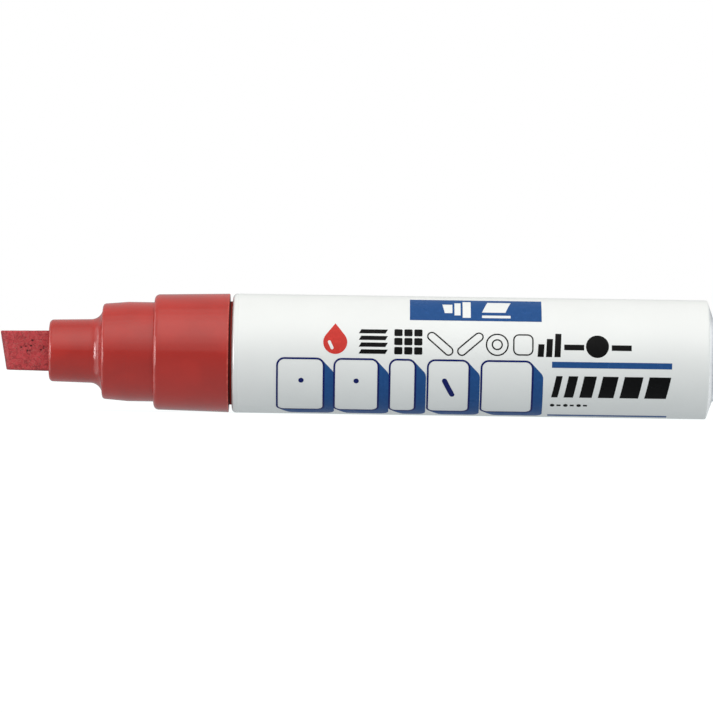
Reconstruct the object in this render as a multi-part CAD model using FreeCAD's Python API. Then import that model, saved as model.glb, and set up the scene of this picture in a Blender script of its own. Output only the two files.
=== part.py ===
"""Broad chisel-tip paint marker, uncapped, lying on its side.

The marker lies along X with its nib towards -X. The origin is on the surface that it lies on,
under the middle of its length, and +Z is up. All sizes are in millimetres.

Stations along the marker are distances behind the nib's leading corner, and radii are
measured from the marker's axis, which runs along X at the height of the barrel's radius.
"""

import math
import os

import FreeCAD
import Part

Vector = FreeCAD.Vector

# ---- driving dimensions ------------------------------------------------------------------
total_length = 141.5
barrel_radius = 11.75
barrel_wall = 0.5

# stations of the outside, from the nib's leading corner
holder_front = 9.7
step_front = 20.2
collar_front = 30.4
collar_rear = 45.25
barrel_front = 45.88
barrel_shoulder = 139.4
foot_front = 140.65

# nib: a bar of felt with an oblong section
nib_width = 8.0
nib_tip_width = 7.75
nib_thickness = 4.8
nib_length = 28.0
nib_slant = 1.35
nib_bevel = 0.7
nib_edge_radius = 0.45
nib_clearance = 0.1
nib_sag = 0.08
nib_travel = 2.5

# nib holder: slim tube, cap seat, neck and plug
tube_front_radius = 6.1
tube_rear_radius = 6.35
tube_bore = 4.95
lip_length = 2.5
lip_radius = 0.8
tube_root_fillet = 2.4
step_lead_radius = 9.4
step_lead_length = 5.05
cap_seat_radius = 9.82
step_edge_radius = 0.65
step_wall = 1.5
valve_bore = 8.2
neck_radius = 10.2
neck_front = 43.9
plug_front = 47.55
plug_rear = 58.0
plug_radius = 11.05
plug_bore = 9.7
seal_rib_radius = 11.22
seal_rib_width = 0.9
snap_bead_height = 0.4

# collar: the sleeve behind the cap seat, snapped into a shallow seat on the holder
collar_seat_radius = 9.45
collar_front_radius = 11.38
collar_rear_radius = 11.72
collar_edge_radius = 1.0
slip = 0.02

# barrel: the drawn can that holds the paint
rim_radius = 0.8
shoulder_rounding = 0.35
foot_radius = 8.2
foot_recess = 0.4
foot_land = 1.2
base_thickness = 0.9
base_corner_wall = 0.7

# valve
valve_body_front = step_front + step_wall
valve_body_rear = 46.0
valve_body_radius = 8.0
valve_rib_radius = 8.18
socket_radius = 5.2
nib_play = 0.5
bulkhead_front = nib_length + nib_travel + nib_play
bulkhead_thickness = 2.0
valve_hole_radius = 1.9
chamber_radius = 6.0
stem_radius = 1.4
seal_radius = 3.2
seal_thickness = 0.9
seat_gap = 0.02
head_radius = 3.4
head_thickness = 1.2
stem_rear = 47.6
cage_front = 41.0
cage_wall = 1.3
cage_flange_radius = 7.5
cage_floor_thickness = 1.2
cage_window_radius = 0.95
cage_window_pitch_radius = 3.7
cage_window_count = 6
spring_mean_radius = 2.3
spring_wire_radius = 0.25
spring_active_turns = 5.5
spring_closed_turns = 1.0

# mixing ball, at the middle of its way
ball_radius = 3.5
ball_station = 98.6
ball_clearance = 0.02

# ---- sizes worked out from them ----------------------------------------------------------
barrel_bore = barrel_radius - barrel_wall
rim_centre = barrel_front + rim_radius
rim_end_radius = barrel_radius - rim_radius
bulkhead_rear = bulkhead_front + bulkhead_thickness
head_front = bulkhead_rear + seat_gap + seal_thickness
head_rear = head_front + head_thickness
gasket_front = rim_centre - 0.1


def axis_point(station):
    """The point on the marker's axis at a station."""
    return Vector(station - total_length / 2, 0, barrel_radius)


def profile_point(station, radius):
    """A point of a half section, above the axis."""
    return axis_point(station) + Vector(0, 0, radius)


def rounded_corner(before, corner, after, radius):
    """The two ends and the middle of the arc that rounds a corner."""
    to_before = (before - corner).normalize()
    to_after = (after - corner).normalize()
    half_angle = to_before.getAngle(to_after) / 2
    reach = radius / math.tan(half_angle)
    start = corner + to_before * reach
    end = corner + to_after * reach
    inward = (to_before + to_after).normalize()
    middle = corner + inward * (radius / math.sin(half_angle) - radius)
    return start, middle, end


def outline(corners):
    """A closed wire through (station, radius) corners; a third number rounds its corner."""
    points = [profile_point(c[0], c[1]) for c in corners]
    count = len(points)
    edges = []
    pieces = []
    for i, corner in enumerate(corners):
        rounding = corner[2] if len(corner) > 2 else 0
        if rounding:
            pieces.append(rounded_corner(points[i - 1], points[i], points[(i + 1) % count], rounding))
        else:
            pieces.append((points[i],))
    for i, piece in enumerate(pieces):
        if len(piece) == 3:
            edges.append(Part.Arc(*piece).toShape())
        following = pieces[(i + 1) % count][0]
        if piece[-1].distanceToPoint(following) > 1e-6:
            edges.append(Part.LineSegment(piece[-1], following).toShape())
    return Part.Wire(edges)


def turned(corners):
    """The solid of revolution of a half section about the marker's axis."""
    face = Part.Face(outline(corners))
    return face.revolve(axis_point(0), Vector(1, 0, 0), 360)


def rod(front, rear, radius):
    """A plain cylinder on the marker's axis."""
    return Part.makeCylinder(radius, rear - front, axis_point(front), Vector(1, 0, 0))


def bar(front, rear, width, thickness):
    """A plain oblong bar on the marker's axis, with its width upright."""
    corner = axis_point(front) - Vector(0, thickness / 2, width / 2)
    return Part.makeBox(rear - front, thickness, width, corner)


def make_nib():
    """Felt bar, lying low in its slot: its tip is slanted, and bevelled on both broad faces."""
    half_tip = nib_tip_width / 2
    half_width = nib_width / 2
    side = [
        profile_point(0, half_tip),
        profile_point(holder_front, half_width),
        profile_point(nib_length, half_width),
        profile_point(nib_length, -half_width),
        profile_point(holder_front, -half_width),
        profile_point(nib_slant, -half_tip),
    ]
    side_face = Part.Face(Part.makePolygon(side + side[:1]))
    blank = side_face.extrude(Vector(0, nib_thickness, 0))
    blank.translate(Vector(0, -nib_thickness / 2, 0))
    long_edges = [e for e in blank.Edges if abs(e.tangentAt(e.FirstParameter).x) > 0.9]
    blank = blank.makeFillet(nib_edge_radius, long_edges)

    half = nib_thickness / 2
    overshoot = 2.0
    slope = Vector(nib_slant, 0, -nib_tip_width)
    above = axis_point(0) + Vector(0, 0, half_tip) - slope * overshoot
    plan = [
        above + Vector(0, nib_bevel - half, 0),
        above + Vector(nib_bevel * 1.4, -half, 0),
        above + Vector(nib_length + overshoot * nib_width, -half, 0),
        above + Vector(nib_length + overshoot * nib_width, half, 0),
        above + Vector(nib_bevel * 1.4, half, 0),
        above + Vector(0, half - nib_bevel, 0),
    ]
    plan_face = Part.Face(Part.makePolygon(plan + plan[:1]))
    nib = blank.common(plan_face.extrude(slope * (1 + 2 * overshoot)))
    nib.translate(Vector(0, 0, -nib_sag))
    return nib


def make_nib_holder():
    """Slim tube round the nib, the cap seat, the neck in the barrel's mouth and the plug."""
    outside = [
        (holder_front, 0),
        (holder_front, tube_front_radius, lip_radius),
        (step_front, tube_rear_radius, tube_root_fillet),
        (step_front, step_lead_radius, step_edge_radius),
        (step_front + step_lead_length, cap_seat_radius),
        (collar_front, cap_seat_radius),
        (collar_front, collar_seat_radius),
        (neck_front, collar_seat_radius),
        (neck_front, neck_radius),
        (plug_front, neck_radius),
        (plug_front, plug_radius),
        (plug_rear, plug_radius, 0.6),
        (plug_rear, 0),
    ]
    holder = turned(outside)
    rib_pitch = 3.0
    for number in range(3):
        front = plug_front + 1.0 + number * rib_pitch
        holder = holder.fuse(rod(front, front + seal_rib_width, seal_rib_radius))

    bead_front = valve_body_rear + 0.1
    bead_radius = valve_bore - snap_bead_height
    bore = turned([
        (holder_front + lip_length, 0),
        (holder_front + lip_length, tube_bore),
        (valve_body_front, tube_bore),
        (valve_body_front, valve_bore),
        (bead_front, valve_bore),
        (bead_front + snap_bead_height, bead_radius),
        (bead_front + 2.5 * snap_bead_height, bead_radius),
        (bead_front + 3.5 * snap_bead_height, valve_bore),
        (bead_front + 4.5 * snap_bead_height, plug_bore),
        (plug_rear + 1, plug_bore),
        (plug_rear + 1, 0),
    ])
    mouth = bar(
        holder_front - 1,
        holder_front + lip_length + 1,
        nib_width + 2 * nib_clearance,
        nib_thickness + 2 * nib_clearance,
    )
    return holder.cut(bore).cut(mouth).removeSplitter()


def make_collar():
    """Sleeve snapped over the cap seat and pushed up to the holder's neck."""
    bore = collar_seat_radius + slip
    return turned([
        (collar_front, bore),
        (collar_front, collar_front_radius, collar_edge_radius),
        (collar_rear, collar_rear_radius, 0.15),
        (collar_rear, neck_radius + slip),
        (neck_front, neck_radius + slip),
        (neck_front, bore),
    ])


def make_mouth_gasket():
    """Flat sealing ring between the barrel's curled rim and the holder's plug."""
    return rod(gasket_front, plug_front, barrel_bore - 0.05).cut(
        rod(gasket_front, plug_front, neck_radius + slip)
    )


def make_barrel():
    """Drawn aluminium can: curled rim in front, a shoulder and a foot with a recess behind."""
    inner_base = total_length - foot_recess - base_thickness
    shell = turned([
        (rim_centre, 0),
        (rim_centre, barrel_radius),
        (barrel_shoulder, barrel_radius, shoulder_rounding),
        (foot_front, foot_radius, 0.2),
        (total_length, foot_radius, 0.45),
        (total_length, foot_radius - foot_land, 0.15),
        (total_length - foot_recess, foot_radius - foot_land - 0.4, 0.15),
        (total_length - foot_recess, 0),
    ])
    hollow = turned([
        (rim_centre, 0),
        (rim_centre, barrel_bore),
        (barrel_shoulder - 0.4, barrel_bore, 0.4),
        (inner_base, foot_radius - base_corner_wall, 0.3),
        (inner_base, 0),
    ])
    rim_outer = Part.makeTorus(rim_end_radius, rim_radius, axis_point(rim_centre), Vector(1, 0, 0))
    rim_inner = Part.makeTorus(
        rim_end_radius, rim_radius - barrel_wall, axis_point(rim_centre), Vector(1, 0, 0)
    )
    quarter = rod(rim_centre - 2 * rim_radius, rim_centre, barrel_radius + 1).cut(
        rod(rim_centre - 2 * rim_radius, rim_centre, rim_end_radius)
    )
    rim = rim_outer.cut(rim_inner).common(quarter)
    return shell.cut(hollow).fuse(rim).removeSplitter()


def make_valve_body():
    """Sleeve with the nib's socket in front, a bulkhead with the valve's seat, and a chamber."""
    body = turned([
        (valve_body_front, socket_radius),
        (valve_body_front, valve_body_radius, 0.4),
        (valve_body_rear, valve_body_radius),
        (valve_body_rear, chamber_radius),
        (bulkhead_rear, chamber_radius),
        (bulkhead_rear, valve_hole_radius),
        (bulkhead_front, valve_hole_radius),
        (bulkhead_front, socket_radius),
    ])
    rib_pitch = 8.0
    for number in range(3):
        front = valve_body_front + 2.5 + number * rib_pitch
        rib = rod(front, front + seal_rib_width, valve_rib_radius)
        body = body.fuse(rib.cut(rod(front, front + seal_rib_width, chamber_radius + 1)))
    return body.removeSplitter()


def make_valve_plunger():
    """Pin that the nib pushes, the head that carries the seal, and the spring's guide stem."""
    return turned([
        (nib_length, 0),
        (nib_length, stem_radius, 0.3),
        (head_front, stem_radius),
        (head_front, head_radius, 0.15),
        (head_rear, head_radius, 0.3),
        (head_rear, stem_radius),
        (stem_rear, stem_radius, 0.4),
        (stem_rear, 0),
    ])


def make_valve_seal():
    """Rubber washer on the plunger's head, which closes the hole in the bulkhead."""
    front = head_front - seal_thickness
    return rod(front, head_front, seal_radius).cut(rod(front, head_front, stem_radius + slip))


def make_valve_cage():
    """Perforated cap that holds the spring in the valve body and lets the paint in."""
    floor_rear = valve_body_rear + cage_floor_thickness
    inside = chamber_radius - cage_wall
    cage = turned([
        (cage_front, inside),
        (cage_front, chamber_radius - 0.05, 0.3),
        (valve_body_rear, chamber_radius - 0.05),
        (valve_body_rear, cage_flange_radius),
        (floor_rear, cage_flange_radius, 0.3),
        (floor_rear, stem_radius + 0.2),
        (valve_body_rear, stem_radius + 0.2),
        (valve_body_rear, inside),
    ])
    for number in range(cage_window_count):
        angle = 2 * math.pi * number / cage_window_count
        across = Vector(0, math.cos(angle), math.sin(angle)) * cage_window_pitch_radius
        window = rod(valve_body_rear - 1, floor_rear + 1, cage_window_radius)
        window.translate(across)
        cage = cage.cut(window)
    return cage


def make_valve_spring():
    """Compression spring with a closed coil at each end, on the plunger's stem."""
    touch = spring_wire_radius + 0.01
    front = head_rear + touch
    rear = valve_body_rear - touch
    closed_pitch = 2 * spring_wire_radius + 0.02
    closed_rise = closed_pitch * spring_closed_turns
    turns = spring_active_turns + 2 * spring_closed_turns
    points_per_turn = 16
    steps = round(turns * points_per_turn)
    active_pitch = (rear - front - 2 * closed_rise) / spring_active_turns
    points = []
    station = front
    for step in range(steps + 1):
        turn = step / points_per_turn
        angle = 2 * math.pi * turn
        radial = Vector(0, math.cos(angle), math.sin(angle)) * spring_mean_radius
        points.append(axis_point(station) + radial)
        is_closed = turn < spring_closed_turns or turn >= turns - spring_closed_turns
        station += (closed_pitch if is_closed else active_pitch) / points_per_turn
    curve = Part.BSplineCurve()
    curve.interpolate(points)
    path = Part.Wire(curve.toShape())
    section = Part.Circle(points[0], curve.tangent(curve.FirstParameter)[0], spring_wire_radius)
    return path.makePipeShell([Part.Wire(section.toShape())], True, True)


def make_mixing_ball():
    """Steel ball that stirs the paint, lying at the bottom of the barrel."""
    drop = barrel_bore - ball_radius - ball_clearance
    return Part.makeSphere(ball_radius, axis_point(ball_station) - Vector(0, 0, drop))


def main():
    makers = {
        "nib": make_nib,
        "nib_holder": make_nib_holder,
        "collar": make_collar,
        "mouth_gasket": make_mouth_gasket,
        "barrel": make_barrel,
        "valve_body": make_valve_body,
        "valve_plunger": make_valve_plunger,
        "valve_seal": make_valve_seal,
        "valve_cage": make_valve_cage,
        "valve_spring": make_valve_spring,
        "mixing_ball": make_mixing_ball,
    }
    os.makedirs("parts", exist_ok=True)
    for node, make in makers.items():
        shape = make()
        solids = shape.Solids
        print(f"{node:14s} valid {shape.isValid()} solids {len(solids)} volume {shape.Volume:9.2f} mm3")
        shape.exportStep(os.path.join("parts", node + ".step"))


main()
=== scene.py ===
"""Looks of a broad chisel-tip paint marker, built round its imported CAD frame.

The marker lies along X with its nib towards -X, and its printed side faces -Y.
Lengths are in metres. A print is drawn flat in millimetres, as (along, up) from the marker's
middle and the axis, and then wrapped round the barrel.
"""

import math

import bmesh
import bpy
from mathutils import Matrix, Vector, noise


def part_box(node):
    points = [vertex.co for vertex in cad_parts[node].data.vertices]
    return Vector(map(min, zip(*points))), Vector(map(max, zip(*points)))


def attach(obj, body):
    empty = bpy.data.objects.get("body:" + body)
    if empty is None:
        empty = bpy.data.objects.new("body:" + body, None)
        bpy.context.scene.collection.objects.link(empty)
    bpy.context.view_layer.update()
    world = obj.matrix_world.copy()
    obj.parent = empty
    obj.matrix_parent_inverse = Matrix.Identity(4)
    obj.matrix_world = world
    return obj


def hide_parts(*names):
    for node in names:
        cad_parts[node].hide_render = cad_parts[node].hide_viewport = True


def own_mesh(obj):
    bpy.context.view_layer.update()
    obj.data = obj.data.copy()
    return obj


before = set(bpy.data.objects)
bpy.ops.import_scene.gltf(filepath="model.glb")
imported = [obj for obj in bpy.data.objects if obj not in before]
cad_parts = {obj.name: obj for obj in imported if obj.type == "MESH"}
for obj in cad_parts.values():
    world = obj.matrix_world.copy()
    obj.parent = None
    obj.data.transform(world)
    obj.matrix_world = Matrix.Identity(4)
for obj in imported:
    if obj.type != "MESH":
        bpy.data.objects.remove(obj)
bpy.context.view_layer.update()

MM = 0.001

# ---- places taken from the frame ---------------------------------------------------------
barrel_low, barrel_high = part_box("barrel")
nib_low, nib_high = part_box("nib")
holder_low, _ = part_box("nib_holder")
collar_low, collar_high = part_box("collar")
spring_low, spring_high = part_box("valve_spring")
AXIS_Z = (barrel_low.z + barrel_high.z) / 2
BARREL_RADIUS = (barrel_high.z - barrel_low.z) / 2
MIDDLE_X = (nib_low.x + barrel_high.x) / 2
NIB_MOUTH_X = holder_low.x
NIB_Z = (nib_low.z + nib_high.z) / 2

# ---- sizes of the details ----------------------------------------------------------------
NIB_SLANT = 1.35 * MM
NIB_TIP_NARROWING = 0.125 * MM
NIB_BEVEL_DEPTH = 0.7 * MM
NIB_BEVEL_LENGTH = 1.0 * MM
NIB_EDGE_RADIUS = 0.45 * MM
NIB_TIP_ROUNDING = 0.09 * MM
FELT_GRID = 0.11 * MM
PORE_PATCH_STATION = 6.2 * MM
PORE_PATCH_HEIGHT = 1.0 * MM
PORE_PATCH_HALF_LENGTH = 2.6 * MM
PORE_PATCH_HALF_WIDTH = 1.6 * MM
# Darkening along the nib's tip rim and long edges.
TIP_DARK_LENGTH = 0.4 * MM
EDGE_DARK_WIDTH = 0.22 * MM
EDGE_DARK_STRENGTH = 0.55
# Half width of the paler edge bands on the red plastic: painted highlight with some wear.
EDGE_HIGHLIGHT_HALF_WIDTH = 0.22 * MM
STEP_BEHIND_MOUTH = 10.5 * MM
BARE_REAR_LENGTH = 1.97 * MM
INK_INNER = 0.003 * MM
INK_OUTER = 0.018 * MM
SPRING_WIRE = 0.25 * MM
TILE_SPANS = [(-16.1, -6.6), (-4.9, 4.1), (5.95, 11.35), (13.4, 21.9), (23.9, 34.3)]

# ---- view and light ----------------------------------------------------------------------
CAMERA_DISTANCE = 1.1
CAMERA_LENS = 281.0
CAMERA_ROLL = math.radians(-0.83)
CAMERA_DROP = 0.335 * MM
CAMERA_ASIDE = -0.4 * MM


# ---- node helpers ------------------------------------------------------------------------
class Nodes:
    """A material's node tree, with short ways to add and join nodes."""

    def __init__(self, name):
        self.material = bpy.data.materials.new(name)
        self.material.use_nodes = True
        self.tree = self.material.node_tree
        self.shader = self.tree.nodes["Principled BSDF"]

    def add(self, kind, **settings):
        node = self.tree.nodes.new(kind)
        for name, value in settings.items():
            setattr(node, name, value)
        return node

    def link(self, output, socket):
        self.tree.links.new(output, socket)

    def fill(self, socket, value):
        """Joins a socket to an output, or sets its number."""
        if isinstance(value, bpy.types.NodeSocket):
            self.link(value, socket)
        else:
            socket.default_value = value

    def place(self):
        return self.add("ShaderNodeTexCoord").outputs["Object"]

    def stretched(self, scale):
        """The place, with each axis scaled."""
        mapping = self.add("ShaderNodeMapping")
        self.link(self.place(), mapping.inputs["Vector"])
        mapping.inputs["Scale"].default_value = scale
        return mapping.outputs["Vector"]

    def noise(self, scale, detail=3.0, roughness=0.5, vector=None):
        node = self.add("ShaderNodeTexNoise")
        self.link(vector or self.place(), node.inputs["Vector"])
        node.inputs["Scale"].default_value = scale
        node.inputs["Detail"].default_value = detail
        node.inputs["Roughness"].default_value = roughness
        return node.outputs["Fac"]

    def math(self, operation, first, second=0.0, clamp=False):
        node = self.add("ShaderNodeMath", operation=operation, use_clamp=clamp)
        self.fill(node.inputs[0], first)
        self.fill(node.inputs[1], second)
        return node.outputs[0]

    def ramp(self, value, low, high, to_low=0.0, to_high=1.0):
        """value from low..high to to_low..to_high, held at both ends."""
        node = self.add("ShaderNodeMapRange")
        node.interpolation_type = "SMOOTHSTEP"
        self.link(value, node.inputs["Value"])
        node.inputs["From Min"].default_value = low
        node.inputs["From Max"].default_value = high
        node.inputs["To Min"].default_value = to_low
        node.inputs["To Max"].default_value = to_high
        return node.outputs["Result"]

    def mix(self, amount, first, second):
        node = self.add("ShaderNodeMix", data_type="RGBA")
        self.fill(node.inputs["Factor"], amount)
        self.fill(node.inputs["A"], first)
        self.fill(node.inputs["B"], second)
        return node.outputs["Result"]

    def coordinate(self, axis):
        split = self.add("ShaderNodeSeparateXYZ")
        self.link(self.place(), split.inputs[0])
        return split.outputs[axis]

    def bump(self, height, distance, strength=1.0, normal=None):
        node = self.add("ShaderNodeBump")
        self.link(height, node.inputs["Height"])
        node.inputs["Distance"].default_value = distance
        node.inputs["Strength"].default_value = strength
        if normal:
            self.link(normal, node.inputs["Normal"])
        return node.outputs["Normal"]

    def near(self, value, centre, half_width):
        """1 at centre, fading to 0 at half_width to each side."""
        offset = self.math("ABSOLUTE", self.math("SUBTRACT", value, centre))
        return self.ramp(offset, 0.0, half_width, 1.0, 0.0)

    def set(self, **values):
        """Sets or joins the shader's sockets, named with underscores for spaces."""
        for name, value in values.items():
            self.fill(self.shader.inputs[name.replace("_", " ")], value)


def srgb(red, green, blue):
    """A linear colour from display values of 0 to 255."""
    def linear(value):
        value /= 255
        return value / 12.92 if value <= 0.04045 else ((value + 0.055) / 1.055) ** 2.4
    return linear(red), linear(green), linear(blue), 1.0


# ---- materials ---------------------------------------------------------------------------
def moulded_plastic(name, colour, wear_and_highlight_colour, wear_and_highlight_places, gap_shade_from=None):
    """Glossy moulded plastic: flow marks, handling haze, paler edges from wear and painted highlight,
    and painted shade in the gap behind.

    The edge list gives (place along X, strength) for the paler edges. The painted gap shade starts at
    the last argument.
    """
    n = Nodes(name)
    cloud = n.noise(120.0, 4.0)
    flow = n.noise(60.0, 3.0, vector=n.stretched((0.5, 3.0, 3.0)))
    dark = tuple(c * 0.86 for c in colour[:3]) + (1.0,)
    base = n.mix(n.ramp(cloud, 0.35, 0.7), dark, colour)
    along = n.coordinate("X")
    # Paler bands at the listed edges: painted highlight where the rounded edges catch light, with some
    # wear; these bands are rougher too.
    wear_and_highlight = 0.0
    for place, amount in wear_and_highlight_places:
        edge = n.math("MULTIPLY", n.near(along, place, EDGE_HIGHLIGHT_HALF_WIDTH), amount)
        wear_and_highlight = n.math("ADD", wear_and_highlight, edge, clamp=True)
    patchy = n.ramp(n.noise(900.0, 3.0), 0.42, 0.7, 0.2, 0.9)
    base = n.mix(n.math("MULTIPLY", wear_and_highlight, patchy), base, wear_and_highlight_colour)
    # Painted shade in the gap between the collar and the can: near black by the collar, dark red
    # towards the can, and matte.
    if gap_shade_from is not None:
        stain_and_shade = n.ramp(along, gap_shade_from, gap_shade_from + 0.1 * MM, 0.0, 0.9)
        gap_shade_fade = n.ramp(along, gap_shade_from + 0.2 * MM, gap_shade_from + 0.5 * MM)
        base = n.mix(stain_and_shade, base, n.mix(gap_shade_fade, srgb(20, 2, 3), srgb(166, 44, 34)))
    haze = n.ramp(n.noise(240.0, 5.0, 0.6), 0.3, 0.75, 0.15, 0.23)
    rough = n.math("ADD", haze, n.ramp(flow, 0.3, 0.7, -0.03, 0.03))
    rough = n.math("ADD", rough, n.math("MULTIPLY", wear_and_highlight, 0.15))
    if gap_shade_from is not None:
        matte = n.ramp(along, gap_shade_from, gap_shade_from + 0.1 * MM, 0.0, 0.7)
        rough = n.math("ADD", rough, matte, clamp=True)
    grain = n.noise(5200.0, 2.0)
    turned = n.noise(900.0, 2.0, vector=n.stretched((6.0, 0.25, 0.25)))
    normal = n.bump(grain, 0.004 * MM, 0.7)
    normal = n.bump(turned, 0.006 * MM, 0.6, normal)
    n.set(Base_Color=base, Roughness=rough, Normal=normal, IOR=1.5)
    return n.material


def valve_plastic(name, colour):
    """Natural moulded plastic of the inner pieces, lightly stained by the paint."""
    n = Nodes(name)
    stain_and_shade = n.ramp(n.noise(260.0, 5.0, 0.65), 0.5, 0.78, 0.0, 0.55)
    base = n.mix(stain_and_shade, colour, srgb(206, 128, 120))
    rough = n.ramp(n.noise(700.0, 3.0), 0.3, 0.7, 0.34, 0.5)
    normal = n.bump(n.noise(3000.0, 3.0), 0.006 * MM, 0.6)
    n.set(Base_Color=base, Roughness=rough, Normal=normal)
    return n.material


def rubber(name):
    """Black rubber with a fine matte skin and a little dust."""
    n = Nodes(name)
    dust = n.ramp(n.noise(900.0, 5.0, 0.7), 0.52, 0.8, 0.0, 0.35)
    base = n.mix(dust, srgb(26, 26, 27), srgb(92, 90, 88))
    normal = n.bump(n.noise(6000.0, 3.0), 0.01 * MM, 0.8)
    rough = n.ramp(n.noise(1500.0, 2.0), 0.3, 0.7, 0.6, 0.78)
    n.set(Base_Color=base, Roughness=rough, Normal=normal)
    return n.material


def steel(name, colour, smooth, rough):
    """Bare steel with fine drawn marks and a trace of haze."""
    n = Nodes(name)
    haze = n.noise(1100.0, 4.0, 0.6)
    hazy = tuple(c * 0.8 for c in colour[:3]) + (1.0,)
    base = n.mix(n.ramp(haze, 0.35, 0.75), colour, hazy)
    marks = n.noise(5000.0, 2.0, vector=n.stretched((1.0, 1.0, 6.0)))
    normal = n.bump(marks, 0.002 * MM, 0.5)
    hazy_rough = n.ramp(haze, 0.3, 0.75, smooth, rough)
    n.set(Base_Color=base, Metallic=1.0, Roughness=hazy_rough, Normal=normal)
    return n.material


def can_finish(name):
    """White lacquer, thin on the front rim, and bare spun aluminium behind the rear shoulder."""
    n = Nodes(name)
    along = n.coordinate("X")
    bare_start = barrel_high.x - BARE_REAR_LENGTH
    edge_noise = n.ramp(n.noise(900.0, 3.0), 0.3, 0.7, -0.01 * MM, 0.01 * MM)
    bare = n.ramp(n.math("ADD", along, edge_noise), bare_start, bare_start + 0.04 * MM)
    curl = n.ramp(along, barrel_low.x + 0.15 * MM, barrel_low.x + 0.45 * MM, 0.35, 0.0)
    bare = n.math("MAXIMUM", bare, curl)

    cloud = n.noise(90.0, 4.0)
    lacquer = n.mix(n.ramp(cloud, 0.35, 0.7), srgb(237, 239, 239), srgb(239, 241, 241))
    specks = n.ramp(n.noise(2300.0, 2.0), 0.74, 0.8, 0.0, 0.16)
    lacquer = n.mix(specks, lacquer, srgb(150, 148, 145))
    rings = n.noise(2600.0, 2.0, vector=n.stretched((1.0, 0.02, 0.02)))
    metal = n.mix(n.ramp(rings, 0.3, 0.7), srgb(176, 178, 181), srgb(214, 216, 218))
    base = n.mix(bare, lacquer, metal)

    scuffs = n.noise(420.0, 4.0, 0.6)
    rim_polish = n.ramp(along, barrel_low.x + 0.5 * MM, barrel_low.x + 1.5 * MM, 0.55, 1.0)
    lacquer_rough = n.math("MULTIPLY", n.ramp(scuffs, 0.42, 0.72, 0.29, 0.32), rim_polish)
    metal_rough = n.ramp(rings, 0.3, 0.7, 0.26, 0.42)
    rough_mix = n.add("ShaderNodeMix", data_type="FLOAT")
    n.link(bare, rough_mix.inputs["Factor"])
    n.link(lacquer_rough, rough_mix.inputs["A"])
    n.link(metal_rough, rough_mix.inputs["B"])

    peel = n.noise(1500.0, 2.0)
    normal = n.bump(peel, 0.001 * MM, 0.5)
    normal = n.bump(n.math("MULTIPLY", rings, bare), 0.004 * MM, 0.6, normal)
    n.set(Base_Color=base, Metallic=bare, Roughness=rough_mix.outputs["Result"], Normal=normal)
    n.set(IOR=1.5)
    return n.material


def ink(name, colour):
    """Screen-printed ink: mottled cover, tiny pinholes and a soft gloss."""
    n = Nodes(name)
    light = tuple(c * 1.25 + 0.003 for c in colour[:3]) + (1.0,)
    mottle = n.noise(1300.0, 5.0, 0.65)
    base = n.mix(n.ramp(mottle, 0.42, 0.78, 0.0, 0.7), colour, light)
    pinholes = n.ramp(n.noise(4200.0, 2.0), 0.76, 0.82, 0.0, 0.4)
    base = n.mix(pinholes, base, srgb(210, 212, 214))
    rough = n.ramp(n.noise(420.0, 4.0), 0.3, 0.7, 0.26, 0.42)
    normal = n.bump(n.noise(2600.0, 3.0), 0.003 * MM, 0.5)
    n.set(Base_Color=base, Roughness=rough, Normal=normal, Specular_IOR_Level=0.08)
    return n.material


def felt(name):
    """Dense felt soaked with paint: matted fibres, dark pores and a dry, rough skin."""
    n = Nodes(name)
    fibres = n.noise(2200.0, 6.0, 0.7, vector=n.stretched((0.55, 1.3, 1.3)))
    patches = n.noise(900.0, 5.0, 0.65)
    base = n.mix(n.ramp(patches, 0.34, 0.68), srgb(176, 54, 58), srgb(198, 66, 72))
    dark_curls = n.math("MULTIPLY", n.near(n.noise(1050.0, 0.6), 0.5, 0.05), 0.7)
    base = n.mix(dark_curls, base, srgb(126, 38, 42))
    pale_curls = n.math("MULTIPLY", n.near(n.noise(1300.0, 0.6), 0.45, 0.045), 0.5)
    base = n.mix(pale_curls, base, srgb(186, 104, 98))
    base = n.mix(n.ramp(fibres, 0.52, 0.74, 0.0, 0.45), base, srgb(222, 100, 100))
    # The pore attribute also holds the darkening along the tip rim and long edges.
    pore = n.add("ShaderNodeAttribute", attribute_name="pore").outputs["Fac"]
    base = n.mix(pore, base, srgb(70, 12, 18))
    normal = n.bump(fibres, 0.05 * MM, 0.7)
    n.set(Base_Color=base, Roughness=n.ramp(fibres, 0.3, 0.8, 0.72, 0.95), Normal=normal)
    n.set(Sheen_Weight=0.1, Sheen_Roughness=0.5, Specular_IOR_Level=0.3)
    return n.material


def floor_finish(name):
    """A table of milky glass lit from below: white to the camera, dimmer to the marker."""
    n = Nodes(name)
    base = n.mix(n.noise(3.0, 2.0), (0.13, 0.135, 0.14, 1.0), (0.15, 0.155, 0.16, 1.0))
    seen = n.add("ShaderNodeLightPath").outputs["Is Camera Ray"]
    n.set(Base_Color=base, Roughness=0.9, Specular_IOR_Level=0.0)
    n.set(Emission_Color=(0.96, 1.0, 1.0, 1.0), Emission_Strength=n.ramp(seen, 0.0, 1.0, 0.44, 0.93))
    return n.material


# ---- mesh helpers ------------------------------------------------------------------------
def make_piece(name, points, faces, material, body, sharp_edges=None):
    """A smooth-shaded mesh piece that rides on a CAD body."""
    mesh = bpy.data.meshes.new(name)
    mesh.from_pydata(points, [], faces)
    mesh.update()
    mesh.polygons.foreach_set("use_smooth", [True] * len(mesh.polygons))
    if sharp_edges:
        marks = mesh.attributes.new("sharp_edge", "BOOLEAN", "EDGE")
        keys = [tuple(sorted(e.vertices)) for e in mesh.edges]
        marks.data.foreach_set("value", [key in sharp_edges for key in keys])
    mesh.materials.append(material)
    piece = bpy.data.objects.new(name, mesh)
    bpy.context.scene.collection.objects.link(piece)
    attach(piece, body)
    return piece


def paint_node(node, material):
    """Gives a CAD node its material."""
    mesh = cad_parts[node].data
    mesh.materials.clear()
    mesh.materials.append(material)


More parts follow.
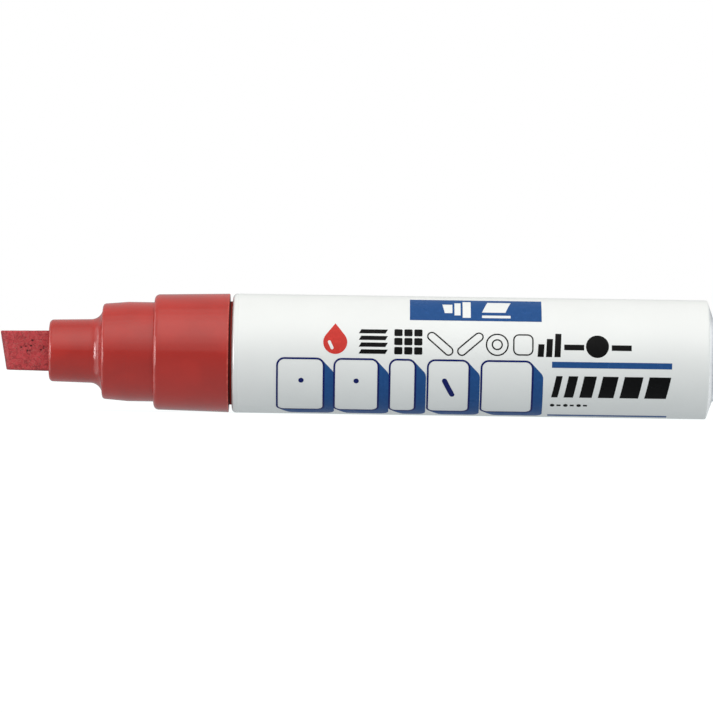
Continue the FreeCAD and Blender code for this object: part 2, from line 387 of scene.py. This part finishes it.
# ---- flat shapes for the print, in millimetres -------------------------------------------
def arc(centre, radius, start, end, steps=8):
    """Points on an arc, with its angles in degrees."""
    points = []
    for i in range(steps + 1):
        angle = math.radians(start + (end - start) * i / steps)
        points.append((centre[0] + radius * math.cos(angle), centre[1] + radius * math.sin(angle)))
    return points


def disc(centre, radius):
    sides = 32
    return arc(centre, radius, 0, 360 - 360 / sides, sides - 1)


def rounded_box(left, right, bottom, top, radius):
    corners = [
        (right - radius, top - radius, 0),
        (left + radius, top - radius, 90),
        (left + radius, bottom + radius, 180),
        (right - radius, bottom + radius, 270),
    ]
    points = []
    for across, up, start in corners:
        points += arc((across, up), radius, start, start + 90)
    return points


def box_outline(left, right, bottom, top):
    return [(left, bottom), (right, bottom), (right, top), (left, top)]


def slanted_box(left, right, bottom, top, lean):
    return [(left, bottom), (right, bottom), (right + lean, top), (left + lean, top)]


def capsule(start, end, radius):
    """A bar with round ends from start to end."""
    direction = math.degrees(math.atan2(end[1] - start[1], end[0] - start[0]))
    return (
        arc(end, radius, direction - 90, direction + 90, 10)
        + arc(start, radius, direction + 90, direction + 270, 10)
    )


def drop_outline(centre, radius, height):
    """A round drop with its point up."""
    tangent = math.degrees(math.asin(radius / (height - radius)))
    tip = (centre[0], centre[1] + height - radius)
    return arc(centre, radius, 180 - tangent, 360 + tangent, 28) + [tip]


def hull(points):
    """The convex outline round some points, anticlockwise."""
    points = sorted(set(points))

    def chain(ordered):
        kept = []
        for p in ordered:
            while len(kept) > 1:
                a, b = kept[-2], kept[-1]
                if (b[0] - a[0]) * (p[1] - a[1]) - (b[1] - a[1]) * (p[0] - a[0]) > 1e-9:
                    break
                kept.pop()
            kept.append(p)
        return kept[:-1]

    return chain(points) + chain(reversed(points))


def wrap_print(name, loops, material, turn=0.0, layer=0):
    """A thin closed shell of ink on the barrel. Loops inside others are holes in them.

    turn is in degrees round the barrel, and a higher layer lies on the ink of the lower ones.
    """
    flat = bmesh.new()
    for loop in loops:
        corners = [flat.verts.new((x, y, 0)) for x, y in loop]
        for i, corner in enumerate(corners):
            flat.edges.new((corner, corners[(i + 1) % len(corners)]))
    bmesh.ops.triangle_fill(flat, edges=flat.edges[:], use_beauty=True, normal=(0, 0, 1))
    heights = [v.co.y for v in flat.verts]
    step = 0.4
    cut = math.ceil(min(heights) / step) * step
    while cut < max(heights):
        geometry = flat.verts[:] + flat.edges[:] + flat.faces[:]
        bmesh.ops.bisect_plane(flat, geom=geometry, plane_co=(0, cut, 0), plane_no=(0, 1, 0), dist=1e-5)
        cut += step
    bmesh.ops.recalc_face_normals(flat, faces=flat.faces[:])
    if flat.faces[:][0].normal.z < 0:
        bmesh.ops.reverse_faces(flat, faces=flat.faces[:])
    flat.verts.index_update()
    count = len(flat.verts)

    points = []
    for lift in (INK_INNER, INK_OUTER):
        radius = BARREL_RADIUS + lift + layer * INK_OUTER
        for vert in flat.verts:
            angle = vert.co.y * MM / BARREL_RADIUS + math.radians(turn)
            across = -radius * math.cos(angle)
            points.append((MIDDLE_X + vert.co.x * MM, across, AXIS_Z + radius * math.sin(angle)))
    faces = []
    sharp = set()
    for face in flat.faces:
        ring = [v.index for v in face.verts]
        faces.append(ring[::-1])
        faces.append([i + count for i in ring])
        for loop in face.loops:
            if len(loop.edge.link_faces) == 1:
                a = loop.vert.index
                b = loop.link_loop_next.vert.index
                faces.append((a, b, b + count, a + count))
                sharp.add(tuple(sorted((a, b))))
                sharp.add(tuple(sorted((a + count, b + count))))
    flat.free()
    return make_piece(name, points, faces, material, "barrel", sharp)


# ---- the print ---------------------------------------------------------------------------
def print_panel(blue):
    """Blue panel, with a marker's tip and a broad stroke left white in it."""
    nib = [(16.3, 12.2), (16.8, 9.4), (18.3, 9.4), (18.3, 12.2)]
    holder = box_outline(18.7, 19.9, 8.8, 12.8)
    body = box_outline(20.3, 21.9, 8.2, 13.4)
    stroke = slanted_box(24.1, 28.7, 9.7, 13.2, 1.1)
    rule = box_outline(24.1, 29.7, 8.2, 8.9)
    panel = box_outline(9.95, 35.8, 7.45, 14.2)
    wrap_print("print_panel", [panel, nib, holder, body, stroke, rule], blue)


def print_drop(red):
    """Red paint drop with a white glint."""
    glint = capsule((-5.75, 2.5), (-5.2, 1.3), 0.3)
    wrap_print("print_drop", [drop_outline((-4.6, 2.45), 2.35, 6.3), glint], red)


def print_swatches(black):
    """A hatch sample, a grid of squares, and a row of bars, dashes and a disc."""
    rows = [slanted_box(0.0, 5.2, 0.25 + 1.36 * i, 1.1 + 1.36 * i, 0.5) for i in range(4)]
    wrap_print("print_hatch", rows, black)
    squares = []
    for column in range(3):
        for row in range(3):
            left = 6.95 + 1.95 * column
            bottom = 0.2 + 1.82 * row
            squares.append(rounded_box(left, left + 1.6, bottom, bottom + 1.45, 0.25))
    wrap_print("print_squares", squares, black)
    bars = [slanted_box(35.0 + 1.65 * i, 36.2 + 1.65 * i, 0.1, 2.6 + 1.1 * i, 0.15) for i in range(3)]
    dashes = [box_outline(left, left + 3.9, 1.5, 2.6) for left in (40.2, 49.5)]
    wrap_print("print_dashes", bars + dashes + [disc((46.7, 2.3), 2.25)], black)


def print_outlined_shapes(black):
    """Thin outlines of pills, a ring and a rounded box."""
    line = 0.27
    loops = []
    for start, end in (((14.3, 3.9), (17.6, 1.0)), ((20.2, 1.0), (23.5, 3.9))):
        loops += [capsule(start, end, 0.95), capsule(start, end, 0.95 - line)]
    loops += [disc((27.1, 2.4), 2.25), disc((27.1, 2.4), 2.25 - line)]
    loops += [disc((27.1, 2.4), 1.1), disc((27.1, 2.4), 1.1 - line)]
    loops.append(rounded_box(30.2, 34.2, 0.3, 4.6, 1.2))
    loops.append(rounded_box(30.2 + line, 34.2 - line, 0.3 + line, 4.6 - line, 1.2 - line))
    wrap_print("print_outlines", loops, black)


def print_tiles(blue, dark_blue):
    """Five round-cornered tiles with deep drop shadows."""
    bottom = -13.9
    top = -0.65
    radius = 1.6
    line = 0.37
    shadow = (1.9, -2.0)
    outlines = []
    for number, (left, right) in enumerate(TILE_SPANS):
        outer = rounded_box(left, right, bottom, top, radius)
        inner = rounded_box(left + line, right - line, bottom + line, top - line, radius - line)
        shifted = [(x + shadow[0], y + shadow[1]) for x, y in outer]
        wrap_print(f"print_tile_shadow_{number + 1}", [hull(outer + shifted), inner], blue)
        outlines += [outer, inner]
    dots = [disc((centre, -5.3), 0.52) for centre in (-11.2, -0.4)]
    slot = capsule((16.9, -5.0), (18.4, -8.2), 0.5)
    wrap_print("print_tile_outlines", outlines + dots + [slot], dark_blue, layer=1)


def print_line_widths(blue, black):
    """Two blue rules, a scale of stroke widths between them, and a row of small marks."""
    upper_rule = box_outline(37.85, 61.35, -2.0, -0.8)
    lower_rule = box_outline(37.35, 60.8, -15.9, -14.8)
    wrap_print("print_rules", [upper_rule, lower_rule], blue)
    strokes = []
    left = 37.85
    for number in range(6):
        width = 1.25 + 0.6 * number
        strokes.append(slanted_box(left, left + width, -8.5, -3.65, 0.9))
        left += width + 1.2
    wrap_print("print_line_widths", strokes, black)
    marks = []
    for number in range(3):
        left = 37.7 + 2.6 * number
        marks.append(disc((left + 0.45, -10.8), 0.45))
        marks.append(box_outline(left + 1.3, left + 2.1, -11.05, -10.55))
    wrap_print("print_small_marks", marks, black)


def print_back(blue, black, red):
    """The far side: rules, rows of plain bars, and pictures of shaking and pressing."""
    rules = [box_outline(-16.0, 60.7, 9.0, 9.8), box_outline(-16.0, 60.7, -9.8, -9.0)]
    line = 0.4
    frames = []
    for left in (-15.0, 2.0):
        right = left + 14.0
        frames.append(rounded_box(left, right, -7.0, 7.0, 1.6))
        frames.append(rounded_box(left + line, right - line, line - 7.0, 7.0 - line, 1.6 - line))
    wrap_print("print_back_rules", rules + frames, blue, turn=180)
    shaken = [slanted_box(-10.2, -7.2, -4.4, 2.0, 1.2), slanted_box(-8.6, -6.4, 2.5, 4.6, 0.4)]
    waves = []
    for side in (-1, 1):
        for step in (3.6, 5.0):
            middle = -8.0 + side * step
            waves.append(capsule((middle - 0.3, -2.2), (middle + 0.3, 2.2), 0.28))
    pressed = [slanted_box(7.4, 10.6, -1.2, 5.2, 0.0), slanted_box(8.0, 10.0, -3.9, -1.7, 0.0)]
    wrap_print("print_back_shake", shaken + waves, black, turn=180)
    wrap_print("print_back_press", pressed, black, turn=180)
    wrap_print("print_back_paint", [capsule((4.2, -5.0), (12.6, -5.0), 0.5)], red, turn=180)
    bars = []
    for row, length in enumerate((38.0, 41.0, 36.0, 40.0, 24.0)):
        left = 19.0
        word = 0
        while left < 19.0 + length:
            width = 2.2 + 1.3 * ((row * 5 + word * 3) % 4)
            bars.append(box_outline(left, left + width, 5.3 - 2.7 * row, 6.2 - 2.7 * row))
            left += width + 0.9
            word += 1
    wrap_print("print_back_bars", bars, black, turn=180)


def print_barrel():
    """Every printed shape on the can, in four inks."""
    blue = ink("ink_blue", srgb(37, 80, 138))
    dark_blue = ink("ink_dark_blue", srgb(22, 32, 98))
    red = ink("ink_red", srgb(204, 60, 54))
    black = ink("ink_black", srgb(9, 9, 10))
    print_panel(blue)
    print_drop(red)
    print_swatches(black)
    print_outlined_shapes(black)
    print_tiles(blue, dark_blue)
    print_line_widths(blue, black)
    print_back(blue, black, red)


# ---- the nib -----------------------------------------------------------------------------
def felt_relief(x, y, z):
    """(depth of the skin below the bar's face, how far a point is inside a pore).

    The pores crowd in a patch above the middle of the nib's face. Lengths and widths of fibres
    and pores are in millimetres here.
    """
    fibre_length = 0.5
    fibre_width = 0.22
    pore_length = 0.56
    pore_width = 0.38
    place = Vector((x, y, z))
    fibre_place = Vector((x / fibre_length, y / fibre_width, z / fibre_width)) / MM
    pore_place = Vector((x / pore_length, y / pore_width, z / pore_width)) / MM
    fibre = noise.fractal(fibre_place, 0.7, 2.1, 4)
    matted = noise.fractal(place / (1.3 * MM), 0.9, 2.0, 3)
    patch_along = (x - nib_low.x - PORE_PATCH_STATION) / PORE_PATCH_HALF_LENGTH
    patch_up = (z - PORE_PATCH_HEIGHT) / PORE_PATCH_HALF_WIDTH
    patch = math.hypot(patch_along, patch_up)
    crowding = 1.4 - 0.5 * min(2.0, patch) + 0.5 * noise.noise(place / (2.2 * MM))
    distances, centres = noise.voronoi(pore_place)
    size = (0.1 + 0.42 * noise.cell(centres[0] * 7.3)) * crowding
    pore = max(0.0, min(1.0, (size - distances[0]) / 0.18)) if size > 0.16 else 0.0
    depth = (0.022 + 0.022 * fibre + 0.03 * matted + 0.11 * pore) * MM
    return max(0.0, depth), pore


def nib_section(half_y, half_z, radius, count):
    """Points round an oblong with rounded corners, evenly spaced, each with its normal."""
    straight_y = half_y - radius
    straight_z = half_z - radius
    quarter = math.pi * radius / 2
    lengths = [2 * straight_z, quarter, 2 * straight_y, quarter] * 2
    total = sum(lengths)
    corners = [(straight_y, straight_z), (-straight_y, straight_z)]
    corners += [(-y, -z) for y, z in corners]
    section = []
    for i in range(count):
        way = total * i / count
        side = 0
        while way > lengths[side]:
            way -= lengths[side]
            side += 1
        corner = corners[side // 2]
        turn = math.pi / 2 * (side // 2)
        if side % 2:
            angle = turn + way / radius
            normal = (math.cos(angle), math.sin(angle))
            section.append((corner[0] + radius * normal[0], corner[1] + radius * normal[1], *normal))
        else:
            normal = (math.cos(turn), math.sin(turn))
            back = lengths[side] - way
            along = (-math.sin(turn), math.cos(turn))
            foot_y = corner[0] + radius * normal[0] - along[0] * back
            foot_z = corner[1] + radius * normal[1] - along[1] * back
            section.append((foot_y, foot_z, *normal))
    return section


def felt_nib(material):
    """Felt bar with a slanted, bevelled tip, pores in its matted skin, darker along its tip rim and
    long edges.

    It is a tip cap of shrinking rings, then a ring of points at each station along X.
    """
    length = nib_high.x - nib_low.x
    full_half_y = (nib_high.y - nib_low.y) / 2
    full_half_z = (nib_high.z - nib_low.z) / 2
    protrusion = NIB_MOUTH_X - nib_low.x
    count = 208
    cap_rings = 22
    coarse_rings = 8
    fine_end = protrusion + 1.0 * MM
    coarse_step = (length - fine_end) / coarse_rings
    stations = []
    station = 0.0
    while station < fine_end:
        stations.append(station)
        station += FELT_GRID
    stations += [fine_end + coarse_step * i for i in range(1, coarse_rings + 1)]

    points = []
    pores = []

    def add_point(station, y, z, normal, tip_rim):
        widening = min(1.0, station / protrusion)
        slant = NIB_SLANT * (1 - widening) * (0.5 - z / (2 * full_half_z))
        x = nib_low.x + station + slant
        depth, pore = felt_relief(x, y, z)
        # Darker along the tip rim and the long edges; kept with the pores.
        long_edge = max(0.0, 1 - (full_half_z - abs(z)) / EDGE_DARK_WIDTH)
        patchy = 1 + 0.6 * noise.noise(Vector((x, y, z)) / (0.9 * MM))
        edge_dark = EDGE_DARK_STRENGTH * max(tip_rim, long_edge) * patchy
        fade = 1.0 if station < fine_end else 0.3
        shift = Vector(normal) * depth * fade
        points.append((x - shift.x, y - shift.y, NIB_Z + z - shift.z))
        pores.append(max(pore, edge_dark) * fade)

    def outline_at(station):
        widening = min(1.0, station / protrusion)
        bevel = NIB_BEVEL_DEPTH * max(0.0, 1 - station / NIB_BEVEL_LENGTH)
        rounding = max(0.0, 1 - station / (3 * FELT_GRID)) ** 2 * NIB_TIP_ROUNDING
        half_y = full_half_y - bevel - rounding
        half_z = full_half_z - NIB_TIP_NARROWING * (1 - widening) - rounding
        return nib_section(half_y, half_z, NIB_EDGE_RADIUS, count)

    tip = outline_at(0.0)
    add_point(0.0, 0.0, 0.0, (-1, 0, 0), 0.0)
    for ring in range(1, cap_rings):
        share = ring / cap_rings
        tip_rim = max(0.0, share * 8 - 7)
        for y, z, _, _ in tip:
            add_point(0.0, y * share, z * share, (-1, 0, 0), tip_rim)
    for station in stations:
        tip_rim = max(0.0, 1 - station / TIP_DARK_LENGTH)
        forward = -0.3 if station == 0 else 0.0
        for y, z, normal_y, normal_z in outline_at(station):
            add_point(station, y, z, (forward, normal_y, normal_z), tip_rim)

    faces = [(0, 1 + (i + 1) % count, 1 + i) for i in range(count)]
    rows = cap_rings - 1 + len(stations)
    for row in range(rows - 1):
        for i in range(count):
            a = 1 + row * count + i
            b = 1 + row * count + (i + 1) % count
            faces.append((a, b, b + count, a + count))
    last = 1 + (rows - 1) * count
    faces.append([last + i for i in range(count)])
    piece = make_piece("felt_nib", points, faces, material, "nib_and_valve")
    attribute = piece.data.attributes.new("pore", "FLOAT", "POINT")
    attribute.data.foreach_set("value", pores)
    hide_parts("nib")


# ---- the valve spring --------------------------------------------------------------------
def valve_spring(material):
    """Coil spring with a closed turn at each end."""
    active_turns = 5.5
    closed_pitch = 2 * SPRING_WIRE + 0.02 * MM
    radius = (spring_high.z - spring_low.z) / 2 - SPRING_WIRE
    start = spring_low.x + SPRING_WIRE
    end = spring_high.x - SPRING_WIRE
    active_pitch = (end - start - 2 * closed_pitch) / active_turns
    steps_per_turn = 28
    steps = round((active_turns + 2) * steps_per_turn)
    curve = bpy.data.curves.new("coil_path", "CURVE")
    curve.dimensions = "3D"
    curve.bevel_depth = SPRING_WIRE
    curve.bevel_resolution = 4
    curve.use_fill_caps = True
    spline = curve.splines.new("POLY")
    spline.points.add(steps)
    x = start
    for step, point in enumerate(spline.points):
        turn = step / steps_per_turn
        angle = 2 * math.pi * turn
        point.co = (x, radius * math.cos(angle), AXIS_Z + radius * math.sin(angle), 1)
        is_closed = turn < 1 or turn >= active_turns + 1
        x += (closed_pitch if is_closed else active_pitch) / steps_per_turn
    source = bpy.data.objects.new("coil_path", curve)
    bpy.context.scene.collection.objects.link(source)
    mesh = bpy.data.meshes.new_from_object(source)
    bpy.data.objects.remove(source)
    mesh.polygons.foreach_set("use_smooth", [True] * len(mesh.polygons))
    mesh.materials.clear()
    mesh.materials.append(material)
    piece = bpy.data.objects.new("coil_spring", mesh)
    bpy.context.scene.collection.objects.link(piece)
    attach(piece, "barrel")
    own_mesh(piece)
    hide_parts("valve_spring")


# ---- the CAD pieces' finishes ------------------------------------------------------------
def finish_cad_pieces():
    """Gives each CAD piece that stays in view its material, with wear and a painted highlight where its
    edges are, and painted shade in the gap behind the collar.
    """
    red = srgb(186, 42, 33)
    worn_highlit_red = srgb(214, 92, 80)
    step_front = holder_low.x + STEP_BEHIND_MOUTH
    # Paler edge bands: painted highlight on the rounded edges, with some wear.
    holder_edges = [(holder_low.x + 0.25 * MM, 0.4), (step_front + 0.2 * MM, 0.4)]
    collar_edges = [(collar_low.x + 0.3 * MM, 0.4), (collar_high.x - 0.15 * MM, 1.0)]
    white = srgb(236, 235, 228)
    # The painted shade in the gap behind the collar starts here.
    gap = collar_high.x - 0.05 * MM
    holder_plastic = moulded_plastic("red_plastic_holder", red, worn_highlit_red, holder_edges, gap)
    collar_plastic = moulded_plastic("red_plastic_collar", red, worn_highlit_red, collar_edges)
    paint_node("nib_holder", holder_plastic)
    paint_node("collar", collar_plastic)
    paint_node("barrel", can_finish("lacquered_aluminium"))
    for node in ("valve_body", "valve_plunger", "valve_cage"):
        paint_node(node, valve_plastic(f"plastic_{node}", white))
    for node in ("mouth_gasket", "valve_seal"):
        paint_node(node, rubber(f"rubber_{node}"))
    paint_node("mixing_ball", steel("ball_steel", srgb(205, 206, 208), 0.08, 0.2))


# ---- floor, light and camera -------------------------------------------------------------
def floor():
    """A wide plain floor just under the barrel. It isn't mirrored in gloss and casts no shadow."""
    half = 30.0
    level = -0.02 * MM
    mesh = bpy.data.meshes.new("floor")
    sides = ((-1, -1), (1, -1), (1, 1), (-1, 1))
    corners = [(half * x, half * y, level) for x, y in sides]
    mesh.from_pydata(corners, [], [(0, 1, 2, 3)])
    mesh.materials.append(floor_finish("pale_floor"))
    piece = bpy.data.objects.new("floor", mesh)
    piece.visible_glossy = False
    piece.visible_shadow = False
    bpy.context.scene.collection.objects.link(piece)


def sun(name, aside, elevation, width, radiance, colour=(1.0, 1.0, 1.0), only_glints=False):
    """A round softbox far away. aside is the angle from -Y towards -X; all angles in degrees."""
    light = bpy.data.lights.new(name, "SUN")
    light.angle = math.radians(width)
    solid_angle = 2 * math.pi * (1 - math.cos(light.angle / 2))
    light.energy = radiance * solid_angle
    light.color = colour
    lamp = bpy.data.objects.new(name, light)
    across = math.radians(aside)
    up = math.radians(elevation)
    level_reach = math.cos(up)
    to_light = Vector((-math.sin(across) * level_reach, -math.cos(across) * level_reach, math.sin(up)))
    lamp.rotation_euler = (-to_light).to_track_quat("-Z", "Y").to_euler()
    lamp.location = to_light
    lamp.visible_diffuse = not only_glints
    bpy.context.scene.collection.objects.link(lamp)


def sky():
    """Soft surroundings, brighter above and below, with a white backdrop for the camera."""
    world = bpy.data.worlds.new("soft_studio")
    bpy.context.scene.world = world
    world.use_nodes = True
    tree = world.node_tree
    surroundings = tree.nodes["Background"]
    place = tree.nodes.new("ShaderNodeTexCoord")
    split = tree.nodes.new("ShaderNodeSeparateXYZ")
    tree.links.new(place.outputs["Generated"], split.inputs[0])
    steepness = tree.nodes.new("ShaderNodeMath")
    steepness.operation = "ABSOLUTE"
    tree.links.new(split.outputs["Z"], steepness.inputs[0])
    height = tree.nodes.new("ShaderNodeMapRange")
    tree.links.new(steepness.outputs[0], height.inputs["Value"])
    height.inputs["To Min"].default_value = 0.4
    height.inputs["To Max"].default_value = 0.8
    tree.links.new(height.outputs["Result"], surroundings.inputs["Strength"])
    tint = tree.nodes.new("ShaderNodeMix")
    tint.data_type = "RGBA"
    tree.links.new(split.outputs["Z"], tint.inputs["Factor"])
    tint.inputs["A"].default_value = (0.92, 0.98, 1.0, 1.0)
    tint.inputs["B"].default_value = (1.0, 0.985, 0.95, 1.0)
    tree.links.new(tint.outputs["Result"], surroundings.inputs["Color"])
    backdrop = tree.nodes.new("ShaderNodeBackground")
    backdrop.inputs["Color"].default_value = (1.0, 1.0, 1.0, 1.0)
    path = tree.nodes.new("ShaderNodeLightPath")
    mix = tree.nodes.new("ShaderNodeMixShader")
    tree.links.new(path.outputs["Is Camera Ray"], mix.inputs["Fac"])
    tree.links.new(surroundings.outputs[0], mix.inputs[1])
    tree.links.new(backdrop.outputs[0], mix.inputs[2])
    tree.links.new(mix.outputs[0], tree.nodes["World Output"].inputs["Surface"])


def lights():
    """Softboxes above and beside the marker, and lamps that only show as glints."""
    for number, width in enumerate((36, 62, 92)):
        sun(f"key_softbox_{number + 1}", 0, 49, width, 0.43, (1.0, 0.975, 0.93))
    sun("left_strip", 96, 6, 40, 1.55)
    sun("right_strip", -62, 4, 34, 0.8, (0.88, 0.96, 1.0))
    for number, elevation in enumerate((-12, 0, 12)):
        sun(f"left_lamp_{number + 1}", 60, elevation, 21, 7.5, only_glints=True)
    for number, elevation in enumerate((-26, 26)):
        sun(f"left_halo_{number + 1}", 90, elevation, 50, 1.2, only_glints=True)
    sun("right_halo", -125, -15, 70, 0.6, only_glints=True)
    sun("rear_lamp", -146, 3, 16, 0.8, only_glints=True)


def camera():
    data = bpy.data.cameras.new("camera")
    data.sensor_width = 36
    data.lens = CAMERA_LENS
    viewer = bpy.data.objects.new("camera", data)
    viewer.location = (MIDDLE_X + CAMERA_ASIDE, -CAMERA_DISTANCE, AXIS_Z - CAMERA_DROP)
    viewer.rotation_euler = (math.radians(90), CAMERA_ROLL, 0)
    bpy.context.scene.collection.objects.link(viewer)
    bpy.context.scene.camera = viewer


def main():
    finish_cad_pieces()
    print_barrel()
    felt_nib(felt("red_felt"))
    valve_spring(steel("spring_wire", srgb(190, 191, 194), 0.16, 0.32))
    floor()
    sky()
    lights()
    camera()
    bpy.context.scene.view_settings.view_transform = "Standard"


main()
